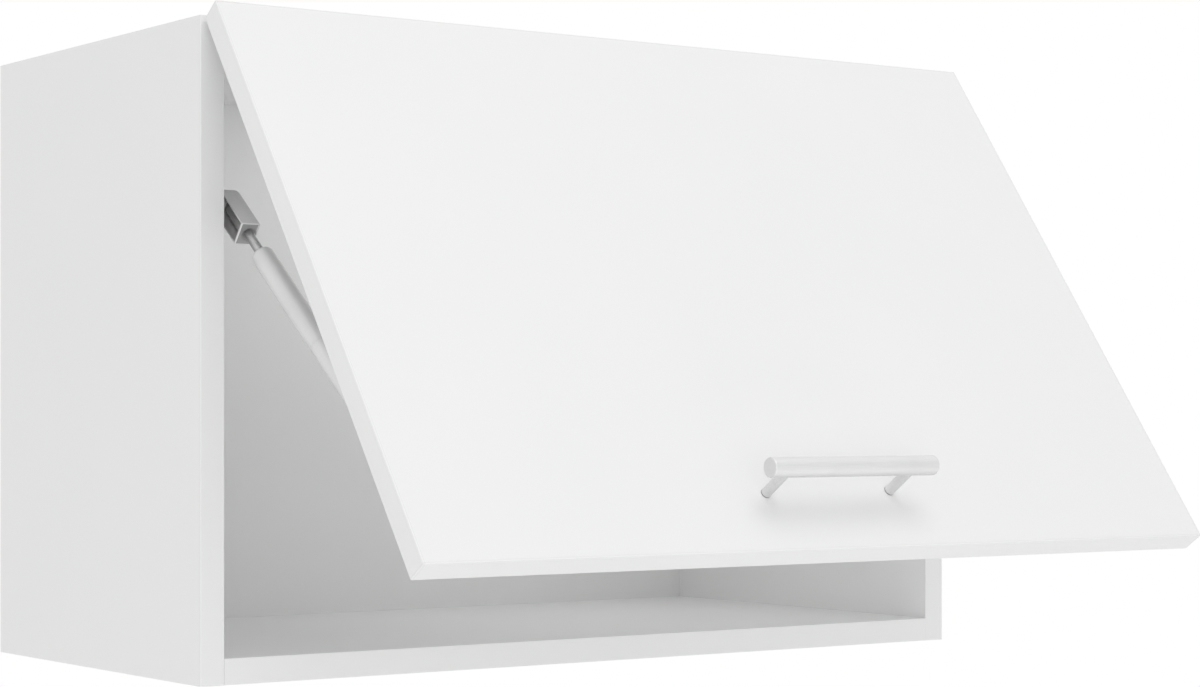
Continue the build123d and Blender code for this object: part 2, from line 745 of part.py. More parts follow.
# Socket on the rod's end: a thin hollow shell, open towards the side panel, with a bevelled rim
socket_side = Plane(origin=(socket_open_side, pivot_y, pivot_z), x_dir=strut_along, z_dir=(1, 0, 0))
socket_rear = socket_height / 2
along_strut = Axis(strut_axis.origin, strut_along)
with BuildPart() as strut_socket:
    with BuildSketch(socket_side):
        Circle(socket_rear)
        with Locations((socket_length / 2, 0)):
            Rectangle(socket_length, socket_height)
    extrude(amount=socket_width)
    far_edges = strut_socket.faces().sort_by(Axis.X)[-1].edges()
    fillet(far_edges, socket_corner)
    for across, up in ((-1, 0), (0, 1), (0, -1)):
        rim_edge = (across * socket_width / 2, up * socket_height / 2, socket_length)
        outward = strut_axis.x_dir * across + strut_axis.y_dir * up + strut_along
        edge_way = strut_axis.x_dir * up + strut_axis.y_dir * across
        with Locations(Plane(origin=strut_axis.from_local_coords(rim_edge), x_dir=edge_way, z_dir=outward)):
            Box(2 * socket_width, 4 * socket_rim, 2 * socket_rim / sqrt(2), mode=Mode.SUBTRACT)
    with BuildSketch(socket_side):
        Circle(socket_rear - socket_wall)
        with Locations(((socket_length - socket_end_wall) / 2, 0)):
            Rectangle(socket_length - socket_end_wall, socket_height - 2 * socket_wall)
    extrude(amount=socket_width - socket_far_wall, mode=Mode.SUBTRACT)
    with BuildSketch(socket_side.offset(socket_boss_inset)):
        Circle(socket_boss_radius)
    extrude(amount=socket_width - socket_boss_inset - socket_far_wall / 2)
    with BuildSketch(strut_axis.offset(rod_start)):
        Circle(rod_radius + socket_sleeve_wall)
    extrude(amount=socket_length - socket_end_wall / 2 - rod_start)
    with BuildSketch(socket_side):
        Circle(stud_radius + stud_fit)
    extrude(amount=socket_width * 3 / 4 + bore_spare_depth, mode=Mode.SUBTRACT)
    with BuildSketch(strut_axis.offset(rod_start)):
        Circle(rod_radius + press_fit)
    extrude(amount=socket_length, mode=Mode.SUBTRACT)
    with Locations(strut_axis.offset(socket_length)):
        Cone(
            rod_radius + press_fit,
            socket_mouth_radius,
            socket_mouth_depth,
            align=(Align.CENTER, Align.CENTER, Align.MAX),
            mode=Mode.SUBTRACT,
        )
finish(strut_socket, "strut_socket")

# Piston rod, from inside the socket to the piston
rod_tip = cylinder_end - strut_travel_in - piston_stop
with BuildPart() as strut_rod:
    with BuildSketch(strut_axis.offset(rod_start)):
        Circle(rod_radius)
    extrude(amount=rod_tip - rod_start)
    chamfer(strut_rod.edges().filter_by(GeomType.CIRCLE), 0.5)
finish(strut_rod, "strut_rod")

with BuildPart() as strut_piston:
    with BuildSketch(strut_axis.offset(rod_tip - piston_length - piston_nut)):
        Circle(cylinder_radius - cylinder_wall - piston_fit)
        Circle(rod_radius + press_fit, mode=Mode.SUBTRACT)
    extrude(amount=piston_length)
finish(strut_piston, "strut_piston")

# Guard tube: travels with the rod and hides it, with a rounded shoulder and a thinned end
strut_section = Plane(origin=strut_axis.origin, x_dir=(1, 0, 0), z_dir=-strut_axis.y_dir)
guard_bore = guard_radius - guard_wall
with BuildPart() as strut_guard_tube:
    with BuildSketch(strut_section):
        with BuildLine():
            Polyline(
                (rod_radius + press_fit, guard_start),
                (guard_radius, guard_start),
                (guard_radius, guard_end - guard_end_taper),
                (guard_end_radius, guard_end),
                (guard_bore, guard_end),
                (guard_bore, guard_start + guard_floor),
                (rod_radius + press_fit, guard_start + guard_floor),
                close=True,
            )
        make_face()
    revolve(axis=along_strut)
    rims = strut_guard_tube.edges().filter_by(GeomType.CIRCLE)
    fillet(rims.group_by(along_strut)[0].sort_by(SortBy.RADIUS)[-1], guard_shoulder)
finish(strut_guard_tube, "strut_guard_tube")

# Pressure cylinder with its gland, and the eye at its foot
with BuildPart() as strut_cylinder:
    with BuildSketch(strut_axis.offset(cylinder_start)):
        Circle(cylinder_radius)
    extrude(amount=cylinder_end - cylinder_start)
    fillet(strut_cylinder.edges().filter_by(GeomType.CIRCLE), cylinder_rounding)
    with BuildSketch(strut_axis.offset(cylinder_start)):
        Circle(cylinder_radius - cylinder_wall)
    extrude(amount=cylinder_end - cylinder_start - cylinder_wall, mode=Mode.SUBTRACT)
finish(strut_cylinder, "strut_cylinder")

with BuildPart() as strut_gland:
    with BuildSketch(strut_axis.offset(cylinder_start + gland_inset)):
        Circle(cylinder_radius - cylinder_wall - press_fit)
        Circle(rod_radius + stud_fit, mode=Mode.SUBTRACT)
    extrude(amount=gland_length)
finish(strut_gland, "strut_gland")

eye_open_side = strut_x + eye_width / 2
eye_plane = Plane(origin=(eye_open_side, foot.Y, foot.Z), x_dir=strut_along, z_dir=(-1, 0, 0))
with BuildPart() as strut_eye:
    with BuildSketch(eye_plane):
        Circle(eye_radius)
    extrude(amount=eye_width)
    fillet(strut_eye.edges().filter_by(GeomType.CIRCLE), eye_rounding)
    with BuildSketch(strut_axis.offset(cylinder_end)):
        Circle(neck_radius)
    extrude(amount=cylinder_end_gap - stud_radius - 2 * eye_bore_fit)
    with BuildSketch(eye_plane):
        Circle(stud_radius + eye_bore_fit)
    extrude(amount=eye_bore_depth, mode=Mode.SUBTRACT)
finish(strut_eye, "strut_eye")

# Bracket on the door: a foot plate, a standing ear and the stud that meets the eye
with BuildPart() as strut_foot_bracket:
    with BuildSketch(door_rear):
        with Locations((foot_plate_middle, -strut_foot_drop)):
            Rectangle(bracket_width, bracket_length)
    extrude(amount=-bracket_plate)
    ear_plane = Plane(
        origin=door_point(ear_face, strut_foot_drop, 0),
        x_dir=-door_rear.z_dir,
        z_dir=(1, 0, 0),
    )
    with BuildSketch(ear_plane):
        with BuildLine():
            Polyline(
                (0, -bracket_length / 2),
                (bracket_plate * 2, -bracket_length / 2),
                (strut_foot_standoff, -ear_radius),
                (strut_foot_standoff, ear_radius),
                (bracket_plate * 2, bracket_length / 2),
                (0, bracket_length / 2),
                close=True,
            )
        make_face()
        with Locations((strut_foot_standoff, 0)):
            Circle(ear_radius)
    extrude(amount=bracket_plate)
    with BuildSketch(ear_plane):
        with Locations((strut_foot_standoff, 0)):
            Circle(stud_radius)
    extrude(amount=-(ear_face - eye_open_side - open_pivot_gap))
    with Locations(*foot_screw_places):
        Cylinder(screw_radius + bore_fit, 4 * bracket_plate, mode=Mode.SUBTRACT)
finish(strut_foot_bracket, "strut_foot_bracket")

with BuildPart() as strut_foot_screws:
    add_pan_screws(foot_screw_places, screw_length)
finish(strut_foot_screws, "strut_foot_screws")

print("door open", door_open_angle, "strut length", round(strut_length, 2))
print("strut pivot", round(pivot_y, 2), round(pivot_z, 2), "strut along", strut_along)
print("strut swing", round(degrees(atan2(-strut_along.Y, -strut_along.Z)), 2))
print("base pivots", base_pivots, "door pivots", door_pivots)
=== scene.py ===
import bmesh
import bpy
import json
import math
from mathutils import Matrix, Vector


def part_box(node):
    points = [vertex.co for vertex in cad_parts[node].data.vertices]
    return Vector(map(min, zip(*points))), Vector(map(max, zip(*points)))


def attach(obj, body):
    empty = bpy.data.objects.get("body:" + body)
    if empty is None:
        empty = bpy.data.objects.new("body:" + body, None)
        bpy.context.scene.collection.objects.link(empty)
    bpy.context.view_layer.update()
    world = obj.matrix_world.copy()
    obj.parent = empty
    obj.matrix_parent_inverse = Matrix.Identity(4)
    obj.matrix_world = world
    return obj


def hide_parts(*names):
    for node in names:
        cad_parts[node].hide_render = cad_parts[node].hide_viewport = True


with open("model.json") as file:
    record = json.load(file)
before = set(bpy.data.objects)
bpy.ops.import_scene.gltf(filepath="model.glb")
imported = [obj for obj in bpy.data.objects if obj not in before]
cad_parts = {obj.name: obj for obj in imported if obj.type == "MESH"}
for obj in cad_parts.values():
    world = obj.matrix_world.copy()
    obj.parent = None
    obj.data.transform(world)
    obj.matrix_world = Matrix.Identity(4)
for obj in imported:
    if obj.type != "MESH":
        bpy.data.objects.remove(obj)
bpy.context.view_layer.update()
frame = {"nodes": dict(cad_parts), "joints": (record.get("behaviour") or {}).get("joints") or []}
nodes = frame["nodes"]
joints = {joint["name"]: joint for joint in frame["joints"]}
print("frame loaded:", len(nodes), "nodes")

# the camera stands in front of the cabinet and to its left, level, a little below its middle
camera = {
    "place": (-1.06118, -1.72950, -0.03771),
    "turn": -34.73,  # degrees about Z, negative to the right
    "lens": 81.54,
    "sensor": 36.0,
    "shift": (0.0603, 0.0589),
    "nearest": 0.02,
}

cameraData = bpy.data.cameras.new("photoCamera")
cameraData.sensor_fit = "HORIZONTAL"
cameraData.sensor_width = camera["sensor"]
cameraData.lens = camera["lens"]
cameraData.shift_x, cameraData.shift_y = camera["shift"]
cameraData.clip_start = camera["nearest"]
cameraObject = bpy.data.objects.new("photoCamera", cameraData)
cameraObject.location = camera["place"]
cameraObject.rotation_euler = (math.radians(90), 0, math.radians(camera["turn"]))
bpy.context.scene.collection.objects.link(cameraObject)
bpy.context.scene.camera = cameraObject
bpy.context.scene.view_settings.view_transform = "Standard"
print("camera placed")


class Link:  # one output socket of a node, used in sums like a number
    def __init__(self, recipe, socket):
        self.recipe = recipe
        self.socket = socket

    def calc(self, operation, *values):
        return self.recipe.node("ShaderNodeMath", {"operation": operation}, dict(enumerate(values)))

    def __add__(self, other):
        return self.calc("ADD", self, other)

    def __radd__(self, other):
        return self.calc("ADD", other, self)

    def __sub__(self, other):
        return self.calc("SUBTRACT", self, other)

    def __rsub__(self, other):
        return self.calc("SUBTRACT", other, self)

    def __mul__(self, other):
        return self.calc("MULTIPLY", self, other)

    def __rmul__(self, other):
        return self.calc("MULTIPLY", other, self)

    def __neg__(self):
        return 0.0 - self

    def __abs__(self):
        return self.calc("ABSOLUTE", self)

    def over(self, low, high):  # 0 below low, 1 above high, smooth between
        sockets = {"Value": self, "From Min": low, "From Max": high}
        return self.recipe.node("ShaderNodeMapRange", {"interpolation_type": "SMOOTHSTEP"}, sockets)

    def under(self, low, high):  # the same the other way round
        return 1.0 - self.over(low, high)


class Recipe:  # the node tree of one material, or of the world
    def __init__(self, owner):
        owner.use_nodes = True
        self.owner = owner
        self.tree = owner.node_tree
        self.tree.nodes.clear()

    def node(self, kind, settings=None, sockets=None, out=0):
        made = self.tree.nodes.new(kind)
        for key, value in (settings or {}).items():
            if key == "stops":
                for place, colour in value[1:-1]:
                    made.color_ramp.elements.new(place)
                for element, (place, colour) in zip(made.color_ramp.elements, value):
                    element.position = place
                    element.color = colour
            else:
                setattr(made, key, value)
        for key, value in (sockets or {}).items():
            if isinstance(value, Link):
                self.tree.links.new(value.socket, made.inputs[key])
            else:
                made.inputs[key].default_value = value
        return Link(self, made.outputs[out]) if made.outputs else None

    def place(self):
        return self.node("ShaderNodeTexCoord", out="Object")

    def stretched(self, scale):
        return self.node("ShaderNodeVectorMath", {"operation": "MULTIPLY"}, {0: self.place(), 1: scale})

    def along(self, origin, way):  # metres from a point along a direction
        offset = self.node("ShaderNodeVectorMath", {"operation": "SUBTRACT"}, {0: self.place(), 1: origin})
        return self.node("ShaderNodeVectorMath", {"operation": "DOT_PRODUCT"}, {0: offset, 1: way}, "Value")

    def length(self, first, second):  # the long side of a right-angled triangle
        squares = first * first + second * second
        return squares.calc("SQRT", squares)

    def noise(self, scale, detail=3.0, roughness=0.55, vector=None):
        sockets = {"Vector": vector or self.place(), "Scale": scale, "Detail": detail, "Roughness": roughness}
        return self.node("ShaderNodeTexNoise", None, sockets)

    def mottle(self, first, second, share, low=0.3, high=0.7):  # two noises mixed, with more contrast
        return (first * share + second * (1 - share)).over(low, high)

    def blend(self, factor, first, second):  # the Mix node's colour sockets go by number
        return self.node("ShaderNodeMix", {"data_type": "RGBA"}, {0: factor, 6: first, 7: second}, out=2)

    def bump(self, height, strength, distance):
        sockets = {"Height": height, "Strength": strength, "Distance": distance}
        return self.node("ShaderNodeBump", None, sockets)

    def finish(self, **sockets):
        names = {
            "colour": "Base Color",
            "roughness": "Roughness",
            "metal": "Metallic",
            "normal": "Normal",
            "ior": "IOR",
            "transmission": "Transmission Weight",
        }
        shader = self.node("ShaderNodeBsdfPrincipled", None, {names[key]: sockets[key] for key in sockets})
        self.node("ShaderNodeOutputMaterial", None, {"Surface": shader})
        return self.owner


def newRecipe(name):
    return Recipe(bpy.data.materials.new(name))


def shade(value):
    return (value, value, value, 1.0)


def reaches(node, origin, way):  # of each corner of a CAD node, from a point along a direction
    return [(corner.co - origin).dot(way) for corner in nodes[node].data.vertices]


# the door stands open at rest, so its travel down to closed is the angle that it is open by
hinge = Vector(joints["door_lift"]["pos_m"])
openAngle = math.radians(-joints["door_lift"]["range_deg"][0])
doorDown = Vector((0, -math.sin(openAngle), -math.cos(openAngle)))
doorOut = Vector((0, -math.cos(openAngle), math.sin(openAngle)))

# the strut's line runs from its pivot on the side panel down to the door
strutLeft, strutRight = (corner.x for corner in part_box("strut_socket"))
pivot = Vector(joints["strut_swing"]["pos_m"])
pivot.x = (strutLeft + strutRight) / 2
strutWay = Vector(joints["strut_slide"]["axis"])
strutUp = strutWay.cross(Vector((1, 0, 0)))

# white boards: fine pearl texture, soft drift in the gloss, a thin seam where the edge band meets the face
board = {
    "colour": (0.87, 0.87, 0.867, 1.0),
    "cooler": (0.855, 0.857, 0.858, 1.0),
    "roughness": 0.44,
    "driftScale": 7.0,
    "driftGloss": 0.10,
    "pearlScale": 900.0,
    "pearlGloss": 0.03,
    "bump": 0.35,
    "depth": 0.00008,
    "ior": 1.45,
    "band": 0.001,
    "seamWidth": 0.00018,
    "seamCore": 0.4,  # share of the width that is darkest
    "seamShade": (0.62, 0.62, 0.61, 1.0),
    "seamStrength": 0.35,
    "seamGroove": 1.5,
}

doorFace = {"colour": (0.88, 0.88, 0.878, 1.0), "roughness": 0.38}

# raw fibreboard at the rear of the back panel
raw = {
    "stops": [
        (0.3, (0.30, 0.20, 0.125, 1.0)),
        (0.52, (0.40, 0.285, 0.185, 1.0)),
        (0.75, (0.48, 0.36, 0.25, 1.0)),
    ],
    "span": (-0.00012, -0.00004),  # from the rear face, minus is towards the front
    "fibreScale": 420.0,
    "fibreDetail": 5.0,
    "fibreRoughness": 0.7,
    "gloss": 0.3,
    "relief": 2.0,
}


def boardMaterial(name, seams, rawSide=None, colour=board["colour"], roughness=board["roughness"]):
    recipe = newRecipe(name)
    drift = recipe.noise(board["driftScale"], detail=2.0)
    pearl = recipe.noise(board["pearlScale"], detail=2.0, roughness=0.6)
    base = recipe.blend(drift, colour, board["cooler"])
    height = pearl
    for origin, way in seams:
        distance = abs(recipe.along(origin, way))
        line = distance.under(board["seamWidth"] * board["seamCore"], board["seamWidth"])
        base = recipe.blend(line * board["seamStrength"], base, board["seamShade"])
        height = height - line * board["seamGroove"]
    gloss = roughness + drift * board["driftGloss"] + pearl * board["pearlGloss"]
    if rawSide:
        bare = recipe.along(*rawSide).over(*raw["span"])
        fibre = recipe.noise(raw["fibreScale"], raw["fibreDetail"], raw["fibreRoughness"])
        fibres = recipe.node("ShaderNodeValToRGB", {"stops": raw["stops"]}, {"Fac": fibre})
        base = recipe.blend(bare, base, fibres)
        gloss = gloss + bare * raw["gloss"]
        height = height + bare * fibre * raw["relief"]
    normal = recipe.bump(height, board["bump"], board["depth"])
    return recipe.finish(colour=base, roughness=gloss, normal=normal, ior=board["ior"])


# metals: each has its own tone, gloss, grain direction and depth
metal = {
    "handle": {
        "light": shade(0.79),
        "dark": shade(0.71),
        "roughness": 0.54,
        "stretch": (60, 4200, 4200),
        "depth": 0.00004,
    },
    "post": {
        "light": shade(0.80),
        "dark": shade(0.70),
        "roughness": 0.40,
        "stretch": (2600, 700, 700),
        "depth": 0.00004,
    },
    "steel": {
        "light": shade(0.66),
        "dark": shade(0.52),
        "roughness": 0.34,
        "stretch": (260, 260, 260),
        "depth": 0.00008,
    },
    "rod": {
        "light": shade(0.62),
        "dark": shade(0.52),
        "roughness": 0.24,
        "stretch": (900, 900, 900),
        "depth": 0.00002,
    },
    "pins": {
        "light": shade(0.58),
        "dark": shade(0.46),
        "roughness": 0.30,
        "stretch": (500, 500, 500),
        "depth": 0.00004,
    },
}
brushing = {"cloudScale": 38.0, "grainShare": 0.6, "grainGloss": 0.12, "cloudGloss": 0.06, "bump": 0.3}

# painted shadow: a dark line round the foot of each handle post, where it stands on the door
paintedFootShadow = {"rise": 0.0006, "core": 0.6, "shade": shade(0.22)}


def metalMaterial(name, kind, foot=None):
    facts = metal[kind]
    recipe = newRecipe(name)
    grain = recipe.noise(1.0, roughness=0.6, vector=recipe.stretched(facts["stretch"]))
    cloud = recipe.noise(brushing["cloudScale"])
    base = recipe.blend(recipe.mottle(grain, cloud, brushing["grainShare"]), facts["dark"], facts["light"])
    if foot:
        # painted shadow: the post is darker within a hair of the door's front
        footShadowMask = recipe.along(*foot).under(paintedFootShadow["rise"] * paintedFootShadow["core"], paintedFootShadow["rise"])
        base = recipe.blend(footShadowMask, base, paintedFootShadow["shade"])
    return recipe.finish(
        colour=base,
        roughness=facts["roughness"] + grain * brushing["grainGloss"] + cloud * brushing["cloudGloss"],
        metal=1.0,
        normal=recipe.bump(grain, brushing["bump"], facts["depth"]),
    )


# metallic paint of the strut's tube and cylinder, and the rubber of its seal
paint = {
    "tube": {
        "light": shade(0.76),
        "dark": shade(0.72),
        "roughness": 0.42,
        "metal": 0.45,
        "scale": 1400.0,
        "depth": 0.00004,
    },
    # painted light: a touch lighter than the tube, to make up for the shade the cylinder sits in near the
    # door
    "cylinder": {
        "light": shade(0.77),
        "dark": shade(0.73),
        "roughness": 0.40,
        "metal": 0.45,
        "scale": 1400.0,
        "depth": 0.00004,
    },
    "rubber": {
        "light": shade(0.05),
        "dark": shade(0.03),
        "roughness": 0.70,
        "metal": 0.0,
        "scale": 1500.0,
        "depth": 0.00008,
    },
}
coating = {"cloudScale": 30.0, "cloudShare": 0.7, "cloudGloss": 0.08, "bump": 0.3, "ior": 1.5}


def paintMaterial(name, kind):
    facts = paint[kind]
    recipe = newRecipe(name)
    peel = recipe.noise(facts["scale"], detail=2.0)
    cloud = recipe.noise(coating["cloudScale"])
    return recipe.finish(
        colour=recipe.blend(recipe.mottle(cloud, peel, coating["cloudShare"]), facts["dark"], facts["light"]),
        roughness=facts["roughness"] + cloud * coating["cloudGloss"],
        metal=facts["metal"],
        normal=recipe.bump(peel, coating["bump"], facts["depth"]),
        ior=coating["ior"],
    )


# cast socket of the strut: grey skin, with painted shade on its end face and on the sleeve round the rod in
# its hollow, painted light and shade across the hollow, and a painted highlight on the bright bevel at its
# mouth
casting = {
    "wall": 0.001,
    "farWall": 0.0025,
    "endWall": 0.0014,
    "bevel": 0.0005,
    "sleeveRadius": 0.0044,
    "mouthRadius": 0.0049,
    "mouthDepth": 0.001,
    "skin": 0.00006,  # how far a tone reaches past the face that it is for
    "light": shade(0.70),
    "dark": shade(0.65),
    # painted shade: the end face and the mouth round the rod are darker than the grey skin
    "endFaceShade": shade(0.34),
    # painted highlight on the bevel at the mouth
    "rim": shade(0.80),
    # painted shade on the sleeve round the rod in the hollow
    "sleeve": shade(0.34),
    # painted light and shade across the hollow: lighter deep inside, darker near its open side
    "deepFloorLight": shade(0.88),
    "nearFloorShade": shade(0.48),
    "gritScale": 1100.0,
    "cloudScale": 30.0,
    "cloudShare": 0.6,
    "roughness": 0.46,
    "cloudGloss": 0.08,
    "rimGloss": 0.15,
    "bump": 0.3,
    "depth": 0.00012,
    "ior": 1.5,
}


def castMaterial():
    recipe = newRecipe("socketCast")
    grit = recipe.noise(casting["gritScale"])
    cloud = recipe.noise(casting["cloudScale"])
    along = recipe.along(pivot, strutWay)
    up = recipe.along(pivot, strutUp)
    across = recipe.along(pivot, (1, 0, 0))
    skin = casting["skin"]
    bevel = casting["bevel"]
    length = max(reaches("strut_socket", pivot, strutWay))
    halfHeight = max(reaches("strut_socket", pivot, strutUp))
    halfWidth = (strutRight - strutLeft) / 2

    # the hollow is round behind the pivot and straight ahead of it
    fromMiddle = recipe.length(along.calc("MINIMUM", along, 0.0), up)
    innerHeight = halfHeight - casting["wall"] + skin
    innerEnd = length - casting["endWall"] + skin
    innerSide = halfWidth - casting["farWall"] + skin
    inside = fromMiddle.under(innerHeight, innerHeight + skin) * along.under(innerEnd, innerEnd + skin)
    inside = inside * across.under(innerSide, innerSide + skin)
    fromRod = recipe.length(across, up)
    sleeveSkin = casting["sleeveRadius"] + skin
    # painted shade: the sleeve round the rod inside the hollow is made dark
    sleeveShade = inside * fromRod.under(sleeveSkin, sleeveSkin + skin)
    # painted light and shade inside the hollow: darker near its open side, lighter towards the far wall
    hollowShading = recipe.blend(across.over(-halfWidth, 0.0), casting["nearFloorShade"], casting["deepFloorLight"])

    # painted shade on the end face and the shallow mouth round the rod, then a painted highlight on the bevel
    # along two of its edges
    mouthSkin = casting["mouthRadius"] + skin
    mouthFloor = length - casting["mouthDepth"] - skin
    mouth = fromRod.under(mouthSkin, mouthSkin + skin) * along.over(mouthFloor - skin, mouthFloor)
    endFaceShade = mouth.calc("MAXIMUM", mouth, along.over(length - 2 * skin, length - skin))
    flatEdge = abs(up).over(halfHeight - bevel - skin, halfHeight - bevel)
    openEdge = (-across).over(halfWidth - bevel - skin, halfWidth - bevel)
    corner = flatEdge.calc("MAXIMUM", flatEdge, openEdge)
    rim = corner * along.over(length - bevel - skin, length - bevel)

    base = recipe.blend(recipe.mottle(cloud, grit, casting["cloudShare"]), casting["dark"], casting["light"])
    # painted shade on the end face, painted light and shade in the hollow, painted shade on the sleeve, then
    # the painted highlight on the bevel
    base = recipe.blend(endFaceShade, base, casting["endFaceShade"])
    base = recipe.blend(inside, base, hollowShading)
    base = recipe.blend(sleeveShade, base, casting["sleeve"])
    return recipe.finish(
        colour=recipe.blend(rim, base, casting["rim"]),
        roughness=casting["roughness"] + cloud * casting["cloudGloss"] - rim * casting["rimGloss"],
        normal=recipe.bump(grit, casting["bump"], casting["depth"]),
        ior=casting["ior"],
    )


# turned beech of the dowels
dowel = {
    "pale": (0.68, 0.50, 0.32, 1.0),
    "deep": (0.50, 0.33, 0.18, 1.0),
    "stretch": (60, 1400, 1400),
    "contrast": (0.35, 0.65),
    "roughness": 0.55,
    "grainGloss": 0.15,
    "bump": 0.4,
    "depth": 0.0001,
}


def dowelMaterial():
    recipe = newRecipe("turnedBeech")
    grain = recipe.noise(1.0, detail=5.0, roughness=0.65, vector=recipe.stretched(dowel["stretch"]))
    return recipe.finish(
        colour=recipe.blend(grain.over(*dowel["contrast"]), dowel["deep"], dowel["pale"]),
        roughness=dowel["roughness"] + grain * dowel["grainGloss"],
        normal=recipe.bump(grain, dowel["bump"], dowel["depth"]),
    )


# soft, half clear bumpers of the door
bumper = {
    "clear": (0.82, 0.82, 0.80, 1.0),
    "milky": shade(0.74),
    "cloudScale": 300.0,
    "roughness": 0.28,
    "cloudGloss": 0.1,
    "transmission": 0.45,
    "bump": 0.2,
    "depth": 0.00005,
    "ior": 1.45,
}


def bumperMaterial():
    recipe = newRecipe("softBuffer")
    cloud = recipe.noise(bumper["cloudScale"])
    return recipe.finish(
        colour=recipe.blend(cloud, bumper["clear"], bumper["milky"]),
        roughness=bumper["roughness"] + cloud * bumper["cloudGloss"],
        transmission=bumper["transmission"],
        normal=recipe.bump(cloud, bumper["bump"], bumper["depth"]),
        ior=bumper["ior"],
    )


# the edge bands end one thickness behind the carcass's front, and one in from each edge of the door
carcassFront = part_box("side_panel_left")[0].y
carcassSeams = [((0, carcassFront + board["band"], 0), (0, 1, 0))]
doorBottom = max(reaches("door_panel", hinge, doorDown))
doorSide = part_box("door_panel")[1].x - board["band"]
doorSeams = [
    (hinge + doorDown * board["band"], doorDown),
    (hinge + doorDown * (doorBottom - board["band"]), doorDown),
    ((-doorSide, 0, 0), (1, 0, 0)),
    ((doorSide, 0, 0), (1, 0, 0)),
]
rearFace = ((0, 0, 0), (0, 1, 0))
doorFront = (hinge + doorOut * max(reaches("door_panel", hinge, doorOut)), doorOut)

sideBoard = boardMaterial("carcassBoard", carcassSeams)
backBoard = boardMaterial("backBoard", [], rawSide=rearFace)
doorBoard = boardMaterial("doorBoard", doorSeams, colour=doorFace["colour"], roughness=doorFace["roughness"])
steel = metalMaterial("zincSteel", "steel")
pins = metalMaterial("pinSteel", "pins")
handleMetal = metalMaterial("satinHandle", "handle")
postMetal = metalMaterial("satinPost", "post", foot=doorFront)
rodSteel = metalMaterial("groundRod", "rod")
tubePaint = paintMaterial("tubePaint", "tube")
cylinderPaint = paintMaterial("cylinderPaint", "cylinder")
socketCast = castMaterial()
sealRubber = paintMaterial("sealRubber", "rubber")
beech = dowelMaterial()
softBuffer = bumperMaterial()
print("materials made:", len(bpy.data.materials))

# every piece that isn't named here is zinc plated steel
finishes = {
    sideBoard: ("side_panel_left", "side_panel_right", "top_panel", "bottom_panel"),
    backBoard: ("back_panel",),
    doorBoard: ("door_panel",),
    handleMetal: ("handle_bar",),
    postMetal: ("handle_post_left", "handle_post_right"),
    rodSteel: ("strut_rod", "strut_piston"),
    tubePaint: ("strut_guard_tube",),
    cylinderPaint: ("strut_cylinder",),
    socketCast: ("strut_socket", "strut_eye"),
    sealRubber: ("strut_gland",),
    beech: ("corner_dowels",),
    softBuffer: ("door_bumpers",),
    pins: ("hinge_arm_pins", "hinge_cup_pins"),
}
finishOf = {node: material for material, group in finishes.items() for node in group}
for name, piece in nodes.items():
    material = finishOf.get(name, steel)
    if not piece.material_slots:
        piece.data.materials.append(material)
    for slot in piece.material_slots:
        slot.material = material
print("nodes finished")

# guard sleeve of the strut: rounded shoulder, and an end rolled in until it all but meets the cylinder
sleeve = {
    "rodRadius": 0.00302,
    "radius": 0.007,
    "bore": 0.00662,
    "lip": 0.00644,
    "lipBore": 0.00636,
    "shoulder": 0.0036,
    "floor": 0.0035,
    "taper": 0.030,
    "steps": 10,
    "sides": 96,
}


def sleeveOutline(start, end):  # closed, as radius, distance along the strut, and whether the edge is sharp
    outline = [(sleeve["rodRadius"], start, True)]
    steps = sleeve["steps"]
    for step in range(steps + 1):
        turn = 0.5 * math.pi * step / steps
        radius = sleeve["radius"] - sleeve["shoulder"] * (1 - math.sin(turn))
        outline.append((radius, start + sleeve["shoulder"] * (1 - math.cos(turn)), False))
    for step in range(steps + 1):
        share = step / steps
        rollIn = (sleeve["radius"] - sleeve["lip"]) * share * share * (3 - 2 * share)
        outline.append((sleeve["radius"] - rollIn, end - sleeve["taper"] * (1 - share), step == steps))
    outline.append((sleeve["lipBore"], end, True))
    outline.append((sleeve["bore"], end - sleeve["taper"] / 2, False))
    outline.append((sleeve["bore"], start + sleeve["floor"], True))
    outline.append((sleeve["rodRadius"], start + sleeve["floor"], True))
    return outline


def turnedPiece(name, outline, origin, axis, sides):
    across = axis.orthogonal().normalized()
    over = axis.cross(across)
    turns = [2 * math.pi * step / sides for step in range(sides)]
    spokes = [across * math.cos(turn) + over * math.sin(turn) for turn in turns]
    shape = bmesh.new()
    rings = []
    for radius, distance, sharp in outline:
        centre = origin + axis * distance
        rings.append([shape.verts.new(centre + spoke * radius) for spoke in spokes])
    for ring, after in zip(rings, rings[1:] + rings[:1]):
        for step in range(sides):
            nextStep = (step + 1) % sides
            face = shape.faces.new((ring[step], after[step], after[nextStep], ring[nextStep]))
            face.smooth = True
    for ring, (radius, distance, sharp) in zip(rings, outline):
        for step in range(sides):
            shape.edges.get((ring[step], ring[(step + 1) % sides])).smooth = not sharp
    bmesh.ops.recalc_face_normals(shape, faces=shape.faces)
    mesh = bpy.data.meshes.new(name)
    shape.to_mesh(mesh)
    shape.free()
    piece = bpy.data.objects.new(name, mesh)
    bpy.context.scene.collection.objects.link(piece)
    return piece


tubeReaches = reaches("strut_guard_tube", pivot, strutWay)
tubeStart = min(tubeReaches)
tubeEnd = max(tubeReaches)
sleeveShape = sleeveOutline(tubeStart, tubeEnd)
guardSleeve = turnedPiece("guard_sleeve", sleeveShape, pivot, strutWay, sleeve["sides"])
guardSleeve.data.materials.append(tubePaint)
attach(guardSleeve, "strut_rod_end")
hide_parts("strut_guard_tube")
print("guard sleeve turned:", round((tubeEnd - tubeStart) * 1000, 1), "mm long")

# plain pale floor, well below a cabinet that hangs on its wall; it melts into the white room far away
floor = {
    "height": -1.5,
    "reach": 9.0,
    "colour": shade(0.86),
    "roughness": 0.5,
    "whiteShare": 0.8,
    "fade": (1.2, 3.5),
}


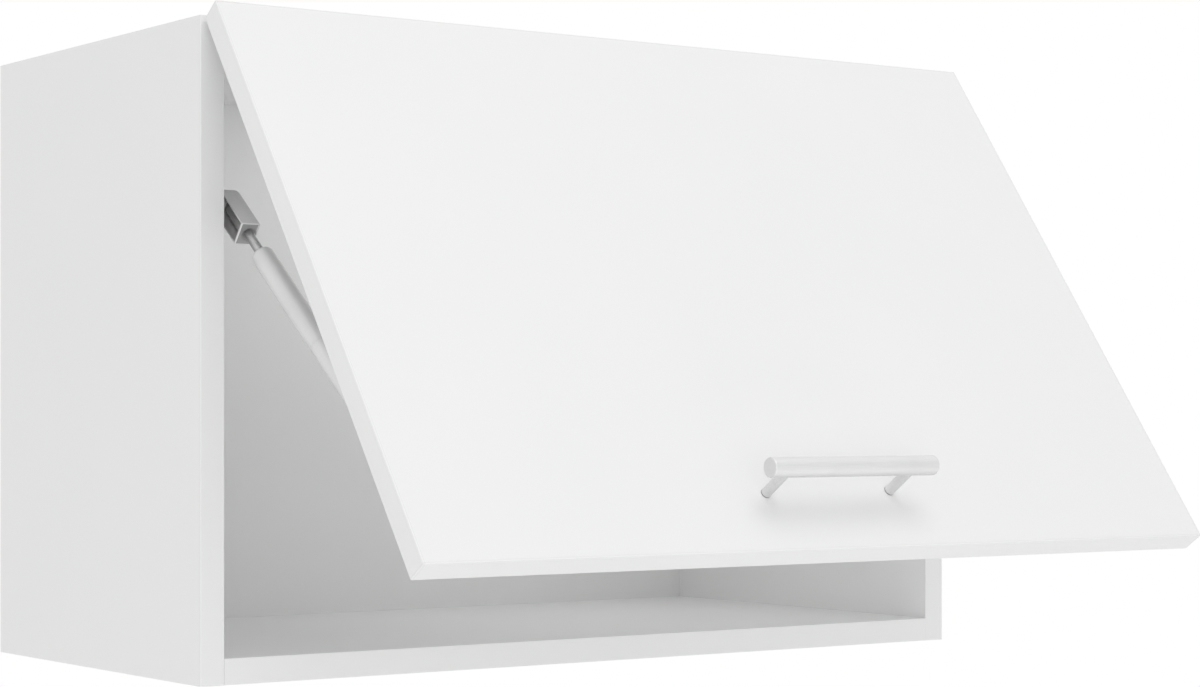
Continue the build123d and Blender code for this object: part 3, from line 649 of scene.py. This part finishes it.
def floorMaterial():
    recipe = newRecipe("paleFloor")
    seen = recipe.node("ShaderNodeLightPath", out="Is Camera Ray")
    mirrored = recipe.node("ShaderNodeLightPath", out="Is Glossy Ray")
    farAway = recipe.node("ShaderNodeVectorMath", {"operation": "LENGTH"}, {0: recipe.place()}, "Value")
    whiteness = floor["whiteShare"] + farAway.over(*floor["fade"]) * (1 - floor["whiteShare"])
    matt = {"Color": floor["colour"], "Roughness": floor["roughness"]}
    surface = recipe.node("ShaderNodeMixShader", None, {
        0: (seen + mirrored) * whiteness,
        1: recipe.node("ShaderNodeBsdfDiffuse", None, matt),
        2: recipe.node("ShaderNodeEmission", None, {"Color": shade(1.0), "Strength": 1.0}),
    })
    underside = recipe.node("ShaderNodeNewGeometry", out="Backfacing")
    surface = recipe.node("ShaderNodeMixShader", None, {
        0: underside * seen,  # a camera below the floor looks through it
        1: surface,
        2: recipe.node("ShaderNodeBsdfTransparent"),
    })
    recipe.node("ShaderNodeOutputMaterial", None, {"Surface": surface})
    return recipe.owner


floorMesh = bpy.data.meshes.new("floor")
shape = bmesh.new()
for x, y in ((-1, -1), (1, -1), (1, 1), (-1, 1)):
    shape.verts.new((x * floor["reach"], y * floor["reach"], floor["height"]))
shape.faces.new(shape.verts)
shape.to_mesh(floorMesh)
shape.free()
floorMesh.materials.append(floorMaterial())
floorObject = bpy.data.objects.new("floor", floorMesh)
bpy.context.scene.collection.objects.link(floorObject)
print("floor laid")

# soft studio light: an even white room, and wide lamps that lift the front, the left side and the inside
studio = {
    "room": 0.771,
    "lamps": {
        "topLamp": {"place": (-0.3, -1.8, 2.6), "aim": (0, -0.3, 0), "size": 2.0, "power": 18.1},
        "lowLamp": {"place": (-1.2, -2.6, -0.35), "aim": (0, -0.15, 0), "size": 1.2, "power": 4.24},
        "underLamp": {"place": (0.2, -1.5, -1.35), "aim": (0, -0.35, 0), "size": 1.2, "power": 5.08},
        "sideLamp": {"place": (-3.0, -0.8, 0.1), "aim": (0, -0.2, 0), "size": 1.6, "power": 7.0},
        "insideLamp": {"place": (0, -0.15, 0.17), "aim": (0, -0.1, -0.2), "size": 0.3, "power": 0.141},
        "insideRightLamp": {
            "place": (0.14, -0.16, 0.1),
            "aim": (0.1, -0.08, -0.2),
            "size": 0.25,
            "power": 0.0924,
        },
    },
}

world = bpy.data.worlds.new("studio")
bpy.context.scene.world = world
recipe = Recipe(world)
white = shade(1.0)
seen = recipe.node("ShaderNodeLightPath", out="Is Camera Ray")
throughGlass = recipe.node("ShaderNodeLightPath", out="Is Transmission Ray")
mirrored = recipe.node("ShaderNodeLightPath", out="Is Glossy Ray")
surface = recipe.node("ShaderNodeMixShader", None, {
    0: seen + throughGlass + mirrored,
    1: recipe.node("ShaderNodeBackground", None, {"Color": white, "Strength": studio["room"]}),
    2: recipe.node("ShaderNodeBackground", None, {"Color": white, "Strength": 1.0}),
})
recipe.node("ShaderNodeOutputWorld", None, {"Surface": surface})

for name, facts in studio["lamps"].items():
    lampData = bpy.data.lights.new(name, "AREA")
    lampData.shape = "DISK"
    lampData.size = facts["size"]
    lampData.energy = facts["power"]
    lamp = bpy.data.objects.new(name, lampData)
    lamp.location = facts["place"]
    lamp.rotation_euler = (Vector(facts["aim"]) - lamp.location).to_track_quat("-Z", "Y").to_euler()
    lamp.visible_camera = False
    bpy.context.scene.collection.objects.link(lamp)
print("light set")
